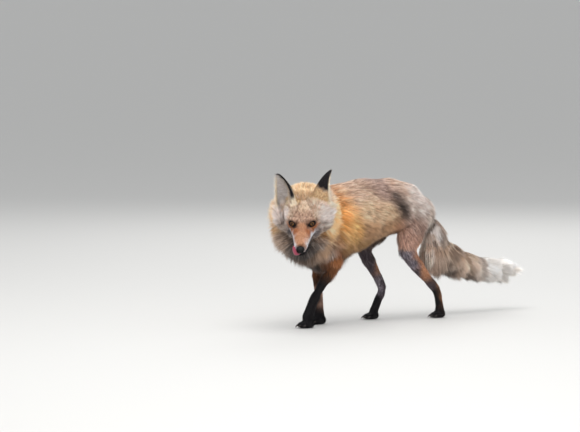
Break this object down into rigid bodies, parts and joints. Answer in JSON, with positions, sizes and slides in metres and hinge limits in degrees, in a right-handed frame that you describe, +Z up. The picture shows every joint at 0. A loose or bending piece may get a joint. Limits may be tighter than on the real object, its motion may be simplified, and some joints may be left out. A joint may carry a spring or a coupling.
{
  "type": "red fox",
  "caption": "Still, life-size red fox in mid-stride, head low and turned left, licking its nose, long brush held low behind.",
  "frame": {"origin": "on the floor, below the middle of the whole animal's bounding box", "axes": "+Z up, -Y the way the fox walks, +X its left"},
  "size_m": [0.2364, 0.8468, 0.3778],
  "materials": {
    "coat": "long grizzled orange and grey fur",
    "sock": "short black fur with dark claws",
    "ear": "short black fur outside, grey fur inside",
    "brush": "long bushy grey-brown fur",
    "tail_tip": "long white fur",
    "nose": "moist black pebbled skin",
    "tongue": "wet pink skin",
    "eye": "clear glossy amber"
  },
  "bodies": {
    "root": {"chest": "coat", "ear_left": "ear", "ear_right": "ear", "eye_left": "eye", "eye_right": "eye", "forearm_left": "coat", "forearm_right": "coat", "forepaw_left": "sock", "forepaw_right": "sock", "head": "coat", "hindpaw_left": "sock", "hindpaw_right": "sock", "hock_left": "coat", "hock_right": "coat", "loin": "coat", "neck": "coat", "nose": "nose", "rump": "coat", "shank_left": "coat", "shank_right": "coat", "tail_middle": "brush", "tail_root": "brush", "tail_tip": "tail_tip", "thigh_left": "coat", "thigh_right": "coat", "tongue": "tongue", "upper_arm_left": "coat", "upper_arm_right": "coat"}
  },
  "joints": []
}
